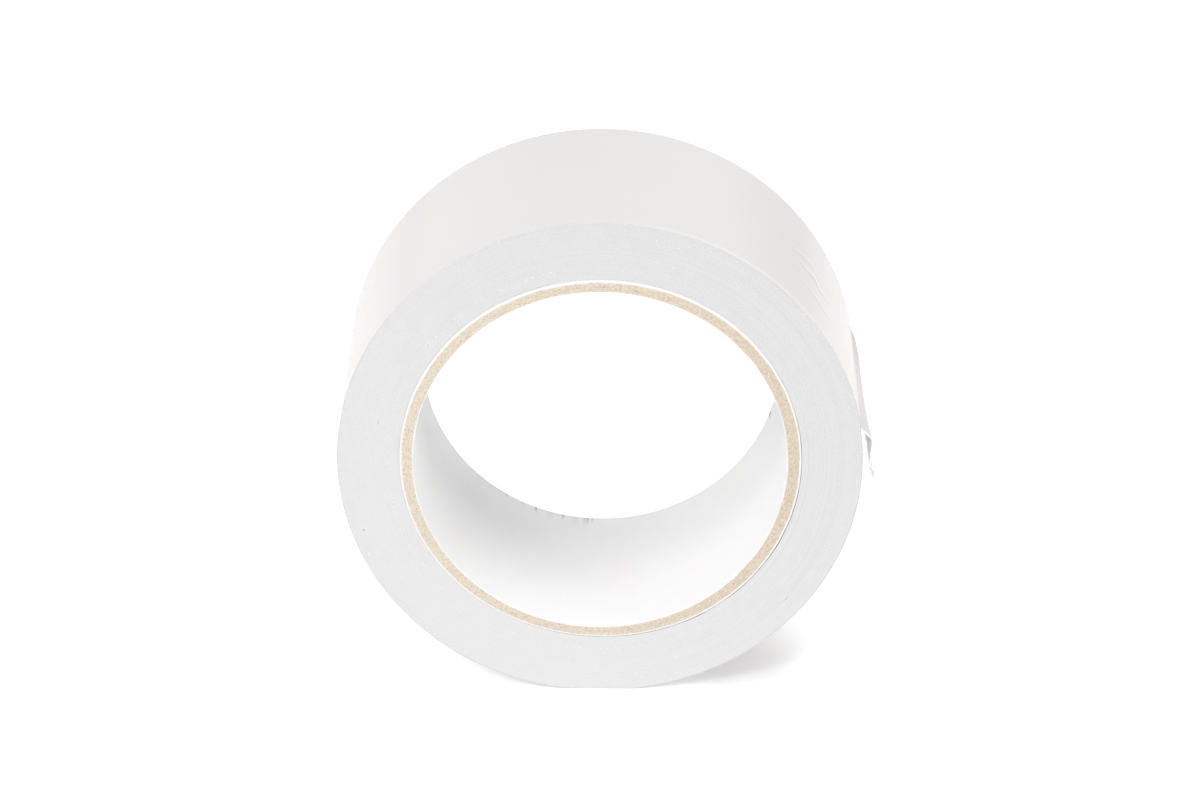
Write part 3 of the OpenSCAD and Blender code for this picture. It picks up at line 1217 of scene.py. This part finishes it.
# Places and sizes in metres of the patch and the shadow. The lift starts at a distance from their middles,
# for the shadow as a share of its size.
DIM_PLACE = (0.36, 0.74)
DIM_SIZE = 0.45
DIM_HEART = 0.1
SHADOW_PLACE = (0.0308, -0.0206)
SHADOW_SIZE = (0.022, 0.045)
SHADOW_HEART = 0.15
floor_mesh = bpy.data.meshes.new("studio_floor")
half = FLOOR_SIZE / 2
level = STAND_Z * MM
floor_mesh.from_pydata(
    [(-half, -half, level), (half, -half, level), (half, half, level), (-half, half, level)],
    [],
    [(0, 1, 2, 3)],
)
floor = bpy.data.objects.new("studio_floor", floor_mesh)
bpy.context.collection.objects.link(floor)
floor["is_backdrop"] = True
white_table, tree = new_material("white_table_laminate")
rays = add_node(tree, "LightPath", {})
mirrored = add_node(
    tree,
    "Math",
    {0: rays.outputs["Is Glossy Ray"], 1: rays.outputs["Is Transmission Ray"]},
    operation="MAXIMUM",
)
matt = add_node(tree, "BsdfDiffuse", {"Color": linear("#F4F4F4")})
bleached = add_node(tree, "BsdfDiffuse", {"Color": linear("#FFFFFF")})
place = add_node(tree, "TexCoord", {}).outputs["Object"]
spot = add_node(tree, "VectorMath", {0: place, 1: (*SHADOW_PLACE, level)}, operation="SUBTRACT")
spot = add_node(
    tree, "VectorMath", {0: spot, 1: (1 / SHADOW_SIZE[0], 1 / SHADOW_SIZE[1], 0)}, operation="MULTIPLY"
)
away = add_node(tree, "VectorMath", {0: spot}, operation="LENGTH")
lift = add_node(
    tree,
    "MapRange",
    {
        "Value": away,
        "From Min": SHADOW_HEART,
        "From Max": 1.0,
        "To Min": 0.0,
        "To Max": FLOOR_LIFT,
    },
    interpolation_type="SMOOTHSTEP",
)
glow = add_node(tree, "Emission", {"Color": linear("#FFFFFF"), "Strength": lift})
lifted = add_node(tree, "AddShader", {0: bleached, 1: glow})
far = add_node(tree, "VectorMath", {0: place, 1: (*DIM_PLACE, level)}, operation="DISTANCE")
dulled = add_node(
    tree,
    "MapRange",
    {
        "Value": far,
        "From Min": DIM_HEART,
        "From Max": DIM_SIZE,
        "To Min": 0.0,
        "To Max": MIRRORED_LIFT,
    },
    interpolation_type="SMOOTHSTEP",
)
gleam = add_node(tree, "Emission", {"Color": linear("#FFFFFF"), "Strength": dulled})
gleaming = add_node(tree, "AddShader", {0: matt, 1: gleam})
unseen = add_node(tree, "MixShader", {0: mirrored, 1: matt, 2: gleaming})
shown = add_node(tree, "MixShader", {0: rays.outputs["Is Camera Ray"], 1: unseen, 2: lifted})
add_node(tree, "OutputMaterial", {"Surface": shown})
floor_mesh.materials.append(white_table)

# Studio light
# Large softboxes high on the left and in front and lower on the right, weaker panels low at both sides,
# and white walls round them. The far right corner of the room is dimmer, which only the film's gloss shows.
AMBIENT = 0.52
DIM_CORNER = (0.433, 0.9, -0.05)
DIM_LEVEL = 0.76
DIM_EDGE = math.radians(16)
DIM_MIDDLE = math.radians(3)
world = bpy.data.worlds.new("white_studio")
world.use_nodes = True
bpy.context.scene.world = world
tree = world.node_tree
tree.nodes.clear()
rays = add_node(tree, "LightPath", {})
seen = add_node(
    tree,
    "Math",
    {0: rays.outputs["Is Camera Ray"], 1: rays.outputs["Is Transmission Ray"]},
    operation="MAXIMUM",
)
way = add_node(tree, "TexCoord", {}).outputs["Generated"]
cornerward = add_node(tree, "VectorMath", {0: way, 1: DIM_CORNER}, operation="DOT_PRODUCT")
dimmed = add_node(
    tree,
    "MapRange",
    {
        "Value": cornerward,
        "From Min": math.cos(DIM_EDGE),
        "From Max": math.cos(DIM_MIDDLE),
        "To Min": 1.0,
        "To Max": DIM_LEVEL,
    },
    interpolation_type="SMOOTHSTEP",
)
room = add_node(tree, "Background", {"Color": linear("#FFFFFF"), "Strength": AMBIENT})
walls = add_node(tree, "Background", {"Color": linear("#FFFFFF"), "Strength": dimmed})
white = add_node(tree, "Background", {"Color": linear("#FFFFFF"), "Strength": 1.0})
lit = add_node(tree, "MixShader", {0: rays.outputs["Is Glossy Ray"], 1: room, 2: walls})
shown = add_node(tree, "MixShader", {0: seen, 1: lit, 2: white})
add_node(tree, "OutputWorld", {"Surface": shown})


def aim_at(thing, place, target):
    """Puts a lamp or camera at a place and turns it to a target, all in metres."""
    way = np.array(target, float) - np.array(place, float)
    thing.location = place
    level = math.hypot(way[0], way[1])
    thing.rotation_euler = (math.pi / 2 + math.atan2(way[2], level), 0, math.atan2(-way[0], way[1]))


# Softboxes: name, place, width and height in metres, power in watts
SOFTBOXES = [
    ("softbox_left", (-0.82, -0.66, 1.44), 0.6, 0.6, 6.5),
    ("softbox_front", (-0.6, -1.24, 1.2), 0.6, 0.6, 11.4),
    ("softbox_right", (1.2, -0.38, 0.6), 0.6, 1.0, 4.8),
    ("panel_right", (1.5, 0.16, 0.33), 0.4, 0.74, 3.9),
    ("panel_left", (-1.5, 0.25, 0.35), 0.5, 0.78, 2.6),
]
for name, place, width, height, power in SOFTBOXES:
    lamp_data = bpy.data.lights.new(name, "AREA")
    lamp_data.shape = "RECTANGLE"
    lamp_data.size = width
    lamp_data.size_y = height
    lamp_data.energy = power
    lamp = bpy.data.objects.new(name, lamp_data)
    bpy.context.collection.objects.link(lamp)
    aim_at(lamp, place, (0, 0, 0))
    # This one is hidden from the film's gloss
    lamp.visible_glossy = name != "softbox_front"

# Camera
# A long lens from the front and about 26 degrees above, as far off as the roll's outlines say.
ELEVATION = math.radians(26.27)
AZIMUTH = math.radians(0.44)
DISTANCE = 0.8894
TARGET = (-0.00017, 0, 0.00241)
SENSOR_MM = 36.0
LENS_MM = 128.17
NEAREST = 0.01
FARTHEST = 20.0
camera_data = bpy.data.cameras.new("camera")
camera_data.sensor_width = SENSOR_MM
camera_data.lens = LENS_MM
camera_data.clip_start = NEAREST
camera_data.clip_end = FARTHEST
camera = bpy.data.objects.new("camera", camera_data)
bpy.context.collection.objects.link(camera)
viewpoint = (
    TARGET[0] + DISTANCE * math.sin(AZIMUTH) * math.cos(ELEVATION),
    TARGET[1] - DISTANCE * math.cos(AZIMUTH) * math.cos(ELEVATION),
    TARGET[2] + DISTANCE * math.sin(ELEVATION),
)
aim_at(camera, viewpoint, TARGET)
bpy.context.scene.camera = camera
bpy.context.scene.view_settings.view_transform = "Standard"

# Size of the dressed part, without the floor
low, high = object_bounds()
